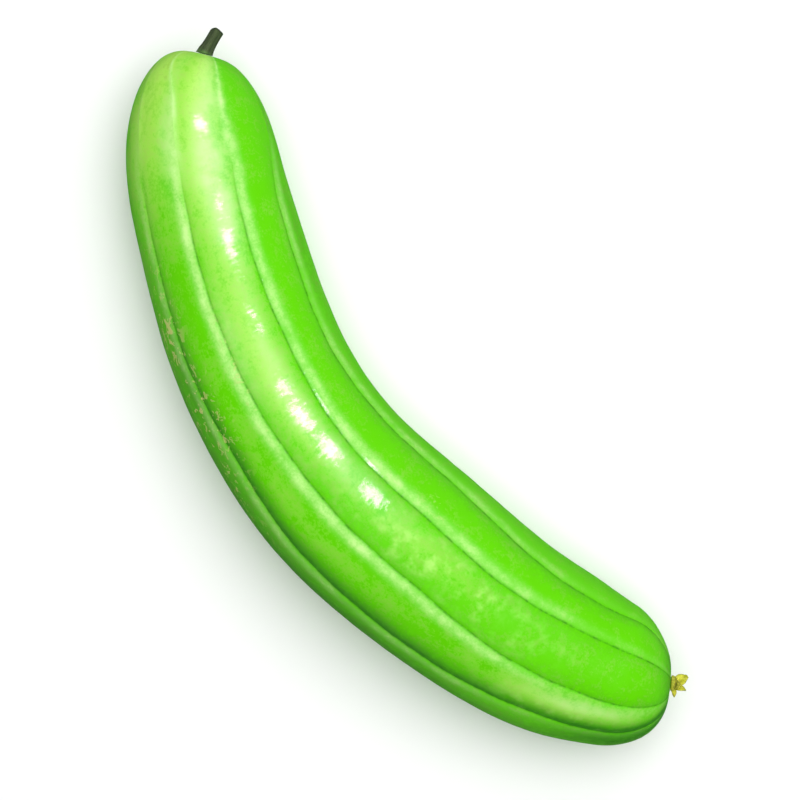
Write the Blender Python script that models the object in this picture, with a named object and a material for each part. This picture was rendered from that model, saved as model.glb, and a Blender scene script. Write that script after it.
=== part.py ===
# Oriental pickling melon: a long, bent green fruit with ten shallow furrows,
# lying on its side. The stub of its stalk is at one end and the withered
# remains of the flower at the other. Metres, +Z up. The fruit's length runs
# along X from the stalk to the flower, its outer bend is at -Y, and z = 0 is
# the surface that it lies on.

import math

import bmesh
import bpy
import numpy as np
from mathutils import Matrix, Vector

# Sections across the fruit, from the stalk's end to the flower's: the centre's
# x, y and height, and half the width there before the ends are rounded off.
# From the third to the tenth the centre is a little lower than the half width,
# so the fruit's underside is pressed flat where it rests.
FRUIT_SECTIONS = (
    (-0.1728, 0.0476, 0.0380, 0.0338),
    (-0.1677, 0.0415, 0.0374, 0.0338),
    (-0.1354, 0.0175, 0.0345, 0.0350),
    (-0.1005, 0.0027, 0.0354, 0.0365),
    (-0.0611, -0.0111, 0.0369, 0.0380),
    (-0.0201, -0.0186, 0.0379, 0.0390),
    (0.0214, -0.0176, 0.0399, 0.0410),
    (0.0622, -0.0087, 0.0404, 0.0415),
    (0.1023, 0.0027, 0.0385, 0.0396),
    (0.1335, 0.0164, 0.0365, 0.0373),
    (0.1662, 0.0400, 0.0374, 0.0305),
    (0.1722, 0.0464, 0.0380, 0.0305),
)
CURVE_STEPS = 24
PATH_POINTS = 400
STALK_END_ROUNDING = 0.0703
STALK_END_BLUNTNESS = 2.65
FLOWER_END_ROUNDING = 0.0255
FLOWER_END_BLUNTNESS = 2.12
STALK_HOLLOW_DEPTH = 0.0009
STALK_HOLLOW_RADIUS = 0.009
FLOWER_HOLLOW_DEPTH = 0.0008
FLOWER_HOLLOW_RADIUS = 0.008

# Furrows: a shallow swell between them, a valley and a narrow crease in it.
# Angles are in degrees round the fruit.
FURROWS = 10
FURROW_SPACING = 360 / FURROWS
SWELL = 0.0005
VALLEY_DEPTH = 0.0007
VALLEY_HALF_WIDTH = 6.0
CREASE_DEPTH = 0.0005
CREASE_HALF_WIDTH = 1.6
FULL_FURROW_RADIUS = 0.030
TWIST_AT_MIDDLE = -4.0

# How finely the fruit is divided: places round one lobe, in degrees from its
# furrow, and rings along the fruit.
LOBE_PLACES = (0.0, 2.0, 5.0, 10.0, 18.0, 26.0, 31.0, 34.0)
FRUIT_RINGS = 54

# The stalk's stub: a five-ribbed rod with a wider foot, cut off short. It leans
# towards the inner bend. Shifts are towards that side, or away from it if negative.
NODE_GAP = 0.0004
STALK_FOOT_RADIUS = 0.0038
STALK_FOOT_SHIFT = -0.0008
STALK_RADIUS = 0.0028
STALK_FOOT_LENGTH = 0.007
STALK_LENGTH = 0.0122
STALK_FIRST_LEAN = -14.0
STALK_LAST_LEAN = -18.0
STALK_RIBS = 5
STALK_RIB_HEIGHT = 0.06
STALK_SIDES = 20
STALK_RINGS = 10
STALK_EDGE_ROUNDING = 0.0007

# The withered flower: a small base, turned from its profile of heights and
# widths, with shrivelled petals. Each petal has a direction round the fruit's
# end (0 is the inner bend's side, 90 is up), its lean away from the fruit's
# axis, its length, its width, how far it curls and how far it is twisted.
FLOWER_BASE_RADIUS = 0.0033
FLOWER_BASE_HEIGHT = 0.0027
FLOWER_SHIFT = 0.0009
FLOWER_BASE_PROFILE = ((0.0, 0.92), (0.25, 1.0), (0.65, 0.88), (0.9, 0.55))
FLOWER_BASE_SIDES = 14
PETAL_ROOT_HEIGHT = 0.0008
PETAL_THICKNESS = 0.0008
PETAL_ROOT_WIDTH = 0.5
PETAL_START = 0.08
PETAL_SPAN = 0.84
PETAL_FULLNESS = 0.9
PETAL_CUP = 0.22
PETAL_ROWS = 7
PETAL_COLUMNS = 4
PETALS = (
    (5.0, 30.0, 0.0074, 0.0052, 8.0, 72.0),
    (98.0, 50.0, 0.0044, 0.0050, 24.0, 0.0),
    (180.0, 27.0, 0.0066, 0.0040, -12.0, -60.0),
    (180.0, 76.0, 0.0062, 0.0026, 8.0, 65.0),
    (285.0, 30.0, 0.0054, 0.0050, 22.0, 0.0),
)


def clear_scene():
    for obj in list(bpy.data.objects):
        bpy.data.objects.remove(obj)


def finish_of(name, colour, roughness):
    material = bpy.data.materials.new(name)
    material.use_nodes = True
    shader = material.node_tree.nodes["Principled BSDF"]
    shader.inputs["Base Color"].default_value = (*colour, 1.0)
    shader.inputs["Roughness"].default_value = roughness
    shader.inputs["Metallic"].default_value = 0.0
    return material


def smooth_path(points):
    """Points evenly spread along a smooth curve through the given ones, and its length."""
    points = np.array(points)
    gaps = np.linalg.norm(np.diff(points[:, :3], axis=0), axis=1)
    # how strongly the curve bends at each point, so that the bend never jumps
    matrix = np.eye(len(points))
    changes = np.zeros_like(points)
    for number in range(1, len(points) - 1):
        before, after = gaps[number - 1], gaps[number]
        matrix[number, number - 1 : number + 2] = before, 2 * (before + after), after
        slopes = np.diff(points[number - 1 : number + 2], axis=0) / np.array([[before], [after]])
        changes[number] = 6 * (slopes[1] - slopes[0])
    bends = np.linalg.solve(matrix, changes)
    steps = np.linspace(0, 1, CURVE_STEPS, endpoint=False)[:, None]
    curve = []
    for number, gap in enumerate(gaps):
        start, end = points[number], points[number + 1]
        bend = ((1 - steps) ** 3 - (1 - steps)) * bends[number] + (steps**3 - steps) * bends[number + 1]
        curve.append(start * (1 - steps) + end * steps + gap**2 / 6 * bend)
    curve = np.vstack((*curve, points[-1]))
    along = np.concatenate(([0.0], np.cumsum(np.linalg.norm(np.diff(curve[:, :3], axis=0), axis=1))))
    wanted = np.linspace(0, along[-1], PATH_POINTS)
    columns = [np.interp(wanted, along, column) for column in curve.T]
    return np.stack(columns, axis=1), float(along[-1])


def frame_at(path, share):
    """The path's point at a share of its length, and the directions forward, left and up."""
    places = np.linspace(0, 1, len(path))
    step = 0.5 / len(path)

    def at(where):
        return Vector([np.interp(where, places, path[:, axis]) for axis in range(3)])

    forward = (at(min(share + step, 1)) - at(max(share - step, 0))).normalized()
    sideways = Vector((0, 0, 1)).cross(forward).normalized()
    return at(share), forward, sideways, forward.cross(sideways)


def rounded_end(distance, length, bluntness):
    """How much of the full width is left at that distance from an end."""
    inward = min(max(distance / length, 0.0), 1.0)
    return (1 - (1 - inward) ** bluntness) ** (1 / bluntness)


def furrow_depth(angle):
    """How deep the surface lies at that angle from a furrow, in degrees."""
    swell = SWELL * (1 + math.cos(math.radians(360 * angle / FURROW_SPACING))) / 2
    nearest = min(angle % FURROW_SPACING, FURROW_SPACING - angle % FURROW_SPACING)
    valley = VALLEY_DEPTH * math.exp(-((nearest / VALLEY_HALF_WIDTH) ** 2))
    crease = CREASE_DEPTH * math.exp(-((nearest / CREASE_HALF_WIDTH) ** 2))
    return swell + valley + crease


def hollow_at(radius, depth, width):
    """How deep the hollow in the middle of an end is at that distance from its middle."""
    return depth * math.exp(-((radius / width) ** 2))


def fruit_ring(path, length, share):
    """One ring of the fruit's points. Angles run from the top towards the outer bend."""
    centre, forward, sideways, up = frame_at(path, share)
    from_stalk = share * length
    from_flower = length - from_stalk
    radius = float(np.interp(share, np.linspace(0, 1, len(path)), path[:, 3]))
    radius *= rounded_end(from_stalk, STALK_END_ROUNDING, STALK_END_BLUNTNESS)
    radius *= rounded_end(from_flower, FLOWER_END_ROUNDING, FLOWER_END_BLUNTNESS)
    if share < 0.5:
        centre += forward * hollow_at(radius, STALK_HOLLOW_DEPTH, STALK_HOLLOW_RADIUS)
    else:
        centre -= forward * hollow_at(radius, FLOWER_HOLLOW_DEPTH, FLOWER_HOLLOW_RADIUS)
    depth_share = min(1.0, radius / FULL_FURROW_RADIUS)
    twist = TWIST_AT_MIDDLE * math.sin(math.pi * share) ** 2
    ring = []
    for lobe in range(FURROWS):
        for place in LOBE_PLACES:
            angle = math.radians((lobe + 0.5) * FURROW_SPACING + place + twist)
            reach = radius - depth_share * furrow_depth(place)
            point = centre + reach * (math.cos(angle) * up - math.sin(angle) * sideways)
            point.z = max(point.z, 0.0)
            ring.append(point)
    return ring


def round_ring(centre, across, up, radius, sides):
    ring = []
    for side in range(sides):
        angle = 2 * math.pi * side / sides
        ring.append(centre + radius * (math.cos(angle) * across + math.sin(angle) * up))
    return ring


def closed_skin(rings, first_pole, last_pole):
    """A closed surface over the rings, with a fan of triangles at each end."""
    mesh = bmesh.new()
    loops = [[mesh.verts.new(point) for point in ring] for ring in rings]
    first = mesh.verts.new(first_pole)
    last = mesh.verts.new(last_pole)
    count = len(loops[0])
    for here in range(count):
        after = (here + 1) % count
        mesh.faces.new((first, loops[0][after], loops[0][here]))
        mesh.faces.new((last, loops[-1][here], loops[-1][after]))
        for ring, following in zip(loops, loops[1:]):
            mesh.faces.new((ring[here], ring[after], following[after], following[here]))
    bmesh.ops.recalc_face_normals(mesh, faces=mesh.faces)
    return mesh


def object_from(mesh, name, material):
    data = bpy.data.meshes.new(name)
    bmesh.ops.triangulate(mesh, faces=mesh.faces)
    mesh.to_mesh(data)
    mesh.free()
    data.materials.append(material)
    data.shade_smooth()
    obj = bpy.data.objects.new(name, data)
    bpy.context.scene.collection.objects.link(obj)
    return obj


def make_fruit(path, length, material):
    rings = []
    for number in range(1, FRUIT_RINGS + 1):
        # the rings lie closer together towards both ends
        share = (1 - math.cos(math.pi * number / (FRUIT_RINGS + 1))) / 2
        rings.append(fruit_ring(path, length, share))
    start, forward_at_start, _, _ = frame_at(path, 0.0)
    end, forward_at_end, _, _ = frame_at(path, 1.0)
    stalk_pole = start + forward_at_start * STALK_HOLLOW_DEPTH
    flower_pole = end - forward_at_end * FLOWER_HOLLOW_DEPTH
    return object_from(closed_skin(rings, stalk_pole, flower_pole), "melon_fruit", material)


def stalk_radius(along):
    """The stalk's radius at that distance from its foot, without its ribs."""
    foot = max(0.0, 1 - along / STALK_FOOT_LENGTH) ** 2
    radius = STALK_RADIUS + (STALK_FOOT_RADIUS - STALK_RADIUS) * foot
    from_cut = STALK_LENGTH - along
    if from_cut < STALK_EDGE_ROUNDING:
        radius -= STALK_EDGE_ROUNDING * (1 - from_cut / STALK_EDGE_ROUNDING) ** 2
    return radius


def make_stalk(path, material):
    start, forward, sideways, up = frame_at(path, 0.0)
    # the foot's rim nearest to the hollow's edge keeps the gap to the fruit
    rim = STALK_FOOT_RADIUS + abs(STALK_FOOT_SHIFT)
    depth = hollow_at(rim, STALK_HOLLOW_DEPTH, STALK_HOLLOW_RADIUS) - NODE_GAP
    foot = start + forward * depth + sideways * STALK_FOOT_SHIFT
    centre = foot.copy()
    step = STALK_LENGTH / (STALK_RINGS - 1)
    rings = []
    for number in range(STALK_RINGS):
        share = number / (STALK_RINGS - 1)
        lean = STALK_FIRST_LEAN + (STALK_LAST_LEAN - STALK_FIRST_LEAN) * share
        turn = Matrix.Rotation(math.radians(lean), 3, up)
        if number:
            centre = centre - turn @ forward * step
        # the foot's first ring lies flat on the fruit, and the rest lean with the stalk
        across = turn @ sideways if number else sideways
        ring = []
        for side in range(STALK_SIDES):
            angle = 2 * math.pi * side / STALK_SIDES
            rib = 1 + STALK_RIB_HEIGHT * math.cos(STALK_RIBS * angle)
            reach = stalk_radius(share * STALK_LENGTH) * rib
            ring.append(centre + reach * (math.cos(angle) * up + math.sin(angle) * across))
        rings.append(ring)
    return object_from(closed_skin(rings, foot, centre), "fruit_stalk", material)


def petal_outline(share):
    """Half a petal's width at that share of its length, as a share of its widest."""
    leaf = math.sin(math.pi * (PETAL_START + PETAL_SPAN * share) ** PETAL_FULLNESS)
    return max(leaf, PETAL_ROOT_WIDTH * (1 - share))


def make_petal(root, axis, sideways, up, petal, material):
    """One shrivelled petal: a thin, cupped and curled blade with a narrow root."""
    direction, lean, length, width, curl, twist = petal
    turn = math.radians(direction)
    outside = math.cos(turn) * sideways + math.sin(turn) * up
    slope = math.radians(lean)
    spine = axis * math.cos(slope) + outside * math.sin(slope)
    twisted = Matrix.Rotation(math.radians(twist), 3, spine)
    across = twisted @ axis.cross(outside)
    off_spine = twisted @ (outside * math.cos(slope) - axis * math.sin(slope))
    rings = []
    for row in range(PETAL_ROWS):
        share = row / (PETAL_ROWS - 1)
        bend = math.radians(curl * (2 * share - 1))
        centre = root + spine * (length * share)
        centre += off_spine * (math.tan(bend) * length * (share - 0.5))
        facing = off_spine * math.cos(bend) - spine * math.sin(bend)
        half = width / 2 * petal_outline(share)
        back = []
        front = []
        for column in range(PETAL_COLUMNS + 1):
            place = 2 * column / PETAL_COLUMNS - 1
            middle = centre + across * (place * half) - facing * (PETAL_CUP * half * (1 - place**2))
            back.append(middle - facing * (PETAL_THICKNESS / 2))
            front.append(middle + facing * (PETAL_THICKNESS / 2))
        rings.append(back + front[::-1])
    poles = [sum(ring, Vector()) / len(ring) for ring in (rings[0], rings[-1])]
    return object_from(closed_skin(rings, *poles), "petal", material)


def make_flower(path, material):
    end, forward, sideways, up = frame_at(path, 1.0)
    base = end + forward * (NODE_GAP - FLOWER_HOLLOW_DEPTH) + sideways * FLOWER_SHIFT
    rings = []
    for height, width in FLOWER_BASE_PROFILE:
        centre = base + forward * (FLOWER_BASE_HEIGHT * height)
        radius = FLOWER_BASE_RADIUS * width
        rings.append(round_ring(centre, sideways, up, radius, FLOWER_BASE_SIDES))
    top = base + forward * FLOWER_BASE_HEIGHT
    flower = object_from(closed_skin(rings, base, top), "withered_flower", material)

    petals = bpy.data.collections.new("petals")
    bpy.context.scene.collection.children.link(petals)
    root = base + forward * PETAL_ROOT_HEIGHT
    for petal in PETALS:
        blade = make_petal(root, forward, sideways, up, petal, material)
        bpy.context.scene.collection.objects.unlink(blade)
        petals.objects.link(blade)
    join = flower.modifiers.new("join petals", "BOOLEAN")
    join.operation = "UNION"
    join.operand_type = "COLLECTION"
    join.collection = petals
    join.solver = "EXACT"
    bpy.context.view_layer.objects.active = flower
    bpy.ops.object.modifier_apply(modifier=join.name)
    for blade in list(petals.objects):
        bpy.data.objects.remove(blade)
    bpy.data.collections.remove(petals)
    return flower


def main():
    clear_scene()
    skin = finish_of("melon skin", (0.16, 0.62, 0.02), 0.35)
    stalk = finish_of("green stalk", (0.05, 0.09, 0.03), 0.7)
    dried = finish_of("dried petals", (0.48, 0.47, 0.05), 0.8)
    path, length = smooth_path(FRUIT_SECTIONS)
    make_fruit(path, length, skin)
    make_stalk(path, stalk)
    make_flower(path, dried)


main()
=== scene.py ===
# The looks of an Oriental pickling melon, as picked and lying on its side, seen
# from straight above. Metres, +Z up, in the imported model's frame: the fruit's
# length runs along X from the stalk to the flower, its outer bend is at -Y, and
# angles round it run from its top, positive towards the outer bend.
import math

import bmesh
import bpy
import numpy as np
from mathutils import Matrix, Vector, noise


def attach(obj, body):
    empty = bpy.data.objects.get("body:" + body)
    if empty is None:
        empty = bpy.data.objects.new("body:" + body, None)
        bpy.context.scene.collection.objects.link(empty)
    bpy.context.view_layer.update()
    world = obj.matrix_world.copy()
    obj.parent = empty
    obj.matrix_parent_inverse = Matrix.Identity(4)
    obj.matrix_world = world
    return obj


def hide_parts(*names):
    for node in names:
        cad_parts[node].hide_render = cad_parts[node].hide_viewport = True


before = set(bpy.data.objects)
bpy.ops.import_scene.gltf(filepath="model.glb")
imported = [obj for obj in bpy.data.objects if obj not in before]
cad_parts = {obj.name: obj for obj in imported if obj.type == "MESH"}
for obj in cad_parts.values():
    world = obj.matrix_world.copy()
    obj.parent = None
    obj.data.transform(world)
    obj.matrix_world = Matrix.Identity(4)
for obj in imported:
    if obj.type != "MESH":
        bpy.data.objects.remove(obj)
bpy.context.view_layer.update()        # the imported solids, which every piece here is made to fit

print("frame loaded:", ", ".join(sorted(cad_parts)))


# Helpers

def linearColour(hexColour):
    # sRGB hex to the linear values that the shaders take
    parts = [int(hexColour[i:i + 2], 16) / 255 for i in (1, 3, 5)]
    return tuple(c / 12.92 if c <= 0.04045 else ((c + 0.055) / 1.055) ** 2.4 for c in parts) + (1.0,)


def addNode(tree, kind, inputs=(), out=0, **settings):
    # adds a node, sets it up, links or fills its inputs, and returns one output
    node = tree.nodes.new(kind)
    for name, value in settings.items():
        setattr(node, name, value)
    pairs = inputs.items() if isinstance(inputs, dict) else enumerate(inputs)
    for key, value in pairs:
        if isinstance(value, bpy.types.NodeSocket):
            tree.links.new(value, node.inputs[key])
        elif value is not None:
            node.inputs[key].default_value = value
    return node.outputs[out]


def calculate(tree, operation, *values, clamp=False):
    return addNode(tree, "ShaderNodeMath", values, operation=operation, use_clamp=clamp)


def mixColours(tree, share, first, second):
    # one colour turning into another
    return addNode(tree, "ShaderNodeMix", {0: share, 6: first, 7: second}, out=2, data_type="RGBA")


def mixNumbers(tree, share, first, second):
    return addNode(tree, "ShaderNodeMix", {0: share, 2: first, 3: second}, data_type="FLOAT")


def mapRange(tree, value, low, high, lowResult, highResult, kind="LINEAR"):
    # one range of numbers turned into another
    ends = [value, low, high, lowResult, highResult]
    return addNode(tree, "ShaderNodeMapRange", ends, interpolation_type=kind)


def noiseTexture(tree, vector, scale, detail, roughness=0.5, distortion=0.0):
    inputs = {"Vector": vector, "Scale": scale, "Detail": detail}
    inputs.update({"Roughness": roughness, "Distortion": distortion})
    return addNode(tree, "ShaderNodeTexNoise", inputs)


def bumpMap(tree, height, strength, distance, normal=None):
    inputs = {"Strength": strength, "Distance": distance, "Height": height, "Normal": normal}
    return addNode(tree, "ShaderNodeBump", inputs)


def meshValue(tree, name, out="Fac"):
    # what the mesh says at each point
    return addNode(tree, "ShaderNodeAttribute", out=out, attribute_name=name)


def newMaterial(name):
    material = bpy.data.materials.new(name)
    material.use_nodes = True
    return material, material.node_tree, material.node_tree.nodes["Principled BSDF"]


def newObject(name, data):
    made = bpy.data.objects.new(name, data)
    bpy.context.scene.collection.objects.link(made)
    return made


def drawCurve(socket, points):
    # gives the Float Curve node behind that socket its points
    curve = socket.node.mapping.curves[0]
    while len(curve.points) > 2:
        curve.points.remove(curve.points[1])
    for point, place in zip(curve.points, (points[0], points[-1])):
        point.location = place
    for place in points[1:-1]:
        curve.points.new(*place)
    socket.node.mapping.update()


def smoothPath(points, count=400, stepsEach=24):
    # points evenly spread along a smooth curve through the given ones, and its length
    points = np.array(points)
    gaps = np.linalg.norm(np.diff(points[:, :3], axis=0), axis=1)
    matrix = np.eye(len(points))
    changes = np.zeros_like(points)
    for number in range(1, len(points) - 1):
        before, after = gaps[number - 1], gaps[number]
        matrix[number, number - 1:number + 2] = before, 2 * (before + after), after
        slopes = np.diff(points[number - 1:number + 2], axis=0) / np.array([[before], [after]])
        changes[number] = 6 * (slopes[1] - slopes[0])
    bends = np.linalg.solve(matrix, changes)
    steps = np.linspace(0, 1, stepsEach, endpoint=False)[:, None]
    curve = []
    for number, gap in enumerate(gaps):
        bend = ((1 - steps) ** 3 - (1 - steps)) * bends[number] + (steps**3 - steps) * bends[number + 1]
        curve.append(points[number] * (1 - steps) + points[number + 1] * steps + gap**2 / 6 * bend)
    curve = np.vstack((*curve, points[-1]))
    along = np.concatenate(([0.0], np.cumsum(np.linalg.norm(np.diff(curve[:, :3], axis=0), axis=1))))
    wanted = np.linspace(0, along[-1], count)
    return np.stack([np.interp(wanted, along, column) for column in curve.T], axis=1), float(along[-1])


def frameAt(path, share):
    # the path's point there, and the directions forward, left and up
    places = np.linspace(0, 1, len(path))
    step = 0.5 / len(path)

    def at(where):
        return Vector([np.interp(where, places, path[:, axis]) for axis in range(3)])

    forward = (at(min(share + step, 1)) - at(max(share - step, 0))).normalized()
    left = Vector((0, 0, 1)).cross(forward).normalized()
    return at(share), forward, left, forward.cross(left)


def smoothStep(low, high, value):
    t = np.clip((np.asarray(value, float) - low) / (high - low), 0, 1)
    return t * t * (3 - 2 * t)


def guideLine(name, rows, attributes):
    # a line of points that a sweep follows, with a number at each point for each attribute
    mesh = bpy.data.meshes.new(name)
    mesh.from_pydata([tuple(row) for row in rows], [(i, i + 1) for i in range(len(rows) - 1)], [])
    for key, values in attributes.items():
        mesh.attributes.new(key, "FLOAT", "POINT").data.foreach_set("value", np.asarray(values, np.float32))
    return newObject(name, mesh)


def convertToMesh(guide, tree, values, name):
    # runs a node tree on the guide with its inputs set, and keeps the result as a plain mesh
    sweep = guide.modifiers.new(name, "NODES")
    sweep.node_group = tree
    for item in tree.interface.items_tree:
        if item.in_out == "INPUT" and item.name in values:
            sweep[item.identifier] = values[item.name]
    bpy.context.view_layer.update()
    evaluated = guide.evaluated_get(bpy.context.evaluated_depsgraph_get())
    mesh = bpy.data.meshes.new_from_object(evaluated)
    mesh.name = name
    guide.modifiers.remove(sweep)
    bpy.data.objects.remove(guide)
    return newObject(name, mesh)


def place(piece, node, slot):
    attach(piece, "root")
    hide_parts(node)
    print(piece.name, "stands for", node, "with", len(piece.data.polygons), "faces")


# Camera: straight above, turned so that the fruit crosses the picture as in the photograph

view = {
    "pixels": 800,
    "metresPerPixel": 0.00044,
    "lens": 100.0,
    "sensor": 36.0,
    "aim": (0.0003, 0.0252, 0.038),
    "turn": 53.44,
}


def makeCamera():
    data = bpy.data.cameras.new("overhead")
    data.lens = view["lens"]
    data.sensor_width = view["sensor"]
    data.clip_start = 0.05
    camera = newObject("overhead", data)
    distance = view["pixels"] * view["metresPerPixel"] * view["lens"] / view["sensor"]
    camera.location = Vector(view["aim"]) + Vector((0, 0, distance))
    camera.rotation_euler = (0, 0, math.radians(view["turn"]))
    bpy.context.scene.camera = camera


# Fruit: the same sections as the solid, swept in fine steps, with furrows that wander as the real ones do

fruit = {
    "sections": (  # centre x, y, height and half width
        (-0.1728, 0.0476, 0.0380, 0.0338),
        (-0.1677, 0.0415, 0.0374, 0.0338),
        (-0.1354, 0.0175, 0.0345, 0.0350),
        (-0.1005, 0.0027, 0.0354, 0.0365),
        (-0.0611, -0.0111, 0.0369, 0.0380),
        (-0.0201, -0.0186, 0.0379, 0.0390),
        (0.0214, -0.0176, 0.0399, 0.0410),
        (0.0622, -0.0087, 0.0404, 0.0415),
        (0.1023, 0.0027, 0.0385, 0.0396),
        (0.1335, 0.0164, 0.0365, 0.0373),
        (0.1662, 0.0400, 0.0374, 0.0305),
        (0.1722, 0.0464, 0.0380, 0.0305),
    ),
    "stalkEnd": (0.0703, 2.65),      # length of the rounding and its bluntness
    "flowerEnd": (0.0255, 2.12),
    "stalkHollow": (0.0009, 0.009),  # depth and radius
    "flowerHollow": (0.0008, 0.008),
    "furrows": 10,
    "pointsPerLobe": 30,
    "rings": 310,
    "endPacking": 0.65,            # how strongly the rings are packed towards both ends
    "endStretch": (-0.02, 0.05),   # shares of the rings between which an even closer packing eases off
    "furrowDepth": 0.00065,
    "ridgeHeight": 0.0003,
    "ridgeFades": (0.08, 0.20),    # shares of the length where the ridges turn into furrows
    "furrowReach": 18.0,           # degrees from a furrow to the end of its profile
    "fullFurrowRadius": 0.030,
    "packing": 0.72,               # of the points towards the furrows
    "broadUnevenness": 0.0011,
    "fineUnevenness": 0.00022,
    "wobbles": ((0.25, 38), (0.18, 91)),  # degrees, and radians along the whole length
    "hiddenWave": (2.2, 5),        # the same, of the furrows that aren't seen
    "slimmer": 0.0004,             # than the solid, whose deep furrows lie on its outline
    "seed": 7,
}

# where the furrows seen from above run: shares of the length, and degrees from the top
seenFurrows = {
    0: (
        (0.0, 46), (0.02, 35), (0.05, 20), (0.08, 15.6), (0.14, 13.8), (0.21, 15.5), (0.3, 14.9),
        (0.4, 12.5), (0.5, 10.8), (0.6, 11.4), (0.7, 13.3), (0.8, 15.5), (0.9, 16.5), (1.0, 21),
    ),
    1: (
        (0.0, 68), (0.05, 56), (0.1, 49.5), (0.2, 50.5), (0.3, 50.5), (0.4, 48.5), (0.47, 46.8),
        (0.55, 49.8), (0.67, 52.2), (0.76, 51.6), (0.85, 45.5), (0.92, 48), (1.0, 46),
    ),
    8: (
        (0.0, -78), (0.1, -69), (0.15, -62), (0.2, -57), (0.26, -55.2), (0.38, -55.8),
        (0.53, -59.6), (0.7, -55.6), (0.84, -50.3), (0.9, -53), (0.97, -60), (1.0, -62),
    ),
    9: (
        (0.0, -23.5), (0.1, -25.4), (0.2, -22.6), (0.29, -21.8), (0.38, -25), (0.47, -24),
        (0.56, -24.8), (0.7, -22.4), (0.8, -22.2), (0.9, -24.3), (1.0, -23.7),
    ),
}

# the angles about which the others wave
hiddenFurrows = {2: 95, 3: 129, 4: 163, 5: 197, 6: 231, 7: 266}


def furrowCourses(shares):
    # each furrow's angle along the fruit: drawn for those in sight, gently waving for the rest
    draw = np.random.default_rng(fruit["seed"])
    flatten = 1000     # makes the degrees small beside the shares while the path is smoothed
    swing, pace = fruit["hiddenWave"]
    courses = []
    for number in range(fruit["furrows"]):
        phases = draw.uniform(0, 2 * math.pi, 3)
        waves = zip(fruit["wobbles"], phases)
        wobble = sum(size * np.sin(quickness * shares + phase) for (size, quickness), phase in waves)
        if number in seenFurrows:
            where, angles = np.array(seenFurrows[number], float).T
            course = smoothPath(np.stack((where, angles / flatten, 0 * where), axis=1), 300)[0]
            base = np.interp(shares, course[:, 0], course[:, 1] * flatten)
            base = base + (360 if number >= 8 else 0)
        else:
            base = hiddenFurrows[number] + swing * np.sin(pace * shares + phases[2])
        courses.append(base + wobble)
    return courses


def fruitGuide():
    # rows closer together towards both ends, where the fruit rounds off
    path, length = smoothPath(fruit["sections"])
    even = np.linspace(0, 1, fruit["rings"])
    packing = fruit["endPacking"]
    shares = (1 - packing) * even + packing * (1 - np.cos(math.pi * even)) / 2
    # the rows right at both ends need an even finer spacing than that
    shares = np.where(even < 0.5, shares * smoothStep(*fruit["endStretch"], even), shares)
    shares = np.where(even > 0.5, 1 - (1 - shares) * smoothStep(*fruit["endStretch"], 1 - even), shares)
    rows = []
    radii = []
    insets = []
    for share in shares:
        rows.append(frameAt(path, share)[0])
        radius = float(np.interp(share, np.linspace(0, 1, len(path)), path[:, 3]))
        for distance, (span, bluntness) in (
            (share * length, fruit["stalkEnd"]),
            ((1 - share) * length, fruit["flowerEnd"]),
        ):
            inward = min(max(distance / span, 0.0), 1.0)
            radius *= (1 - (1 - inward) ** bluntness) ** (1 / bluntness)
        depth, width = fruit["stalkHollow"] if share < 0.5 else fruit["flowerHollow"]
        sign = 1 if share < 0.5 else -1
        insets.append(sign * depth * math.exp(-((radius / width) ** 2)))
        radii.append(radius - fruit["slimmer"] * min(radius / fruit["fullFurrowRadius"], 1))
    attributes = {"share": shares, "halfWidth": radii, "inset": insets}
    for number, course in enumerate(furrowCourses(shares)):
        attributes[f"course{number}"] = course
    return guideLine("fruitGuide", rows, attributes), length


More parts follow.
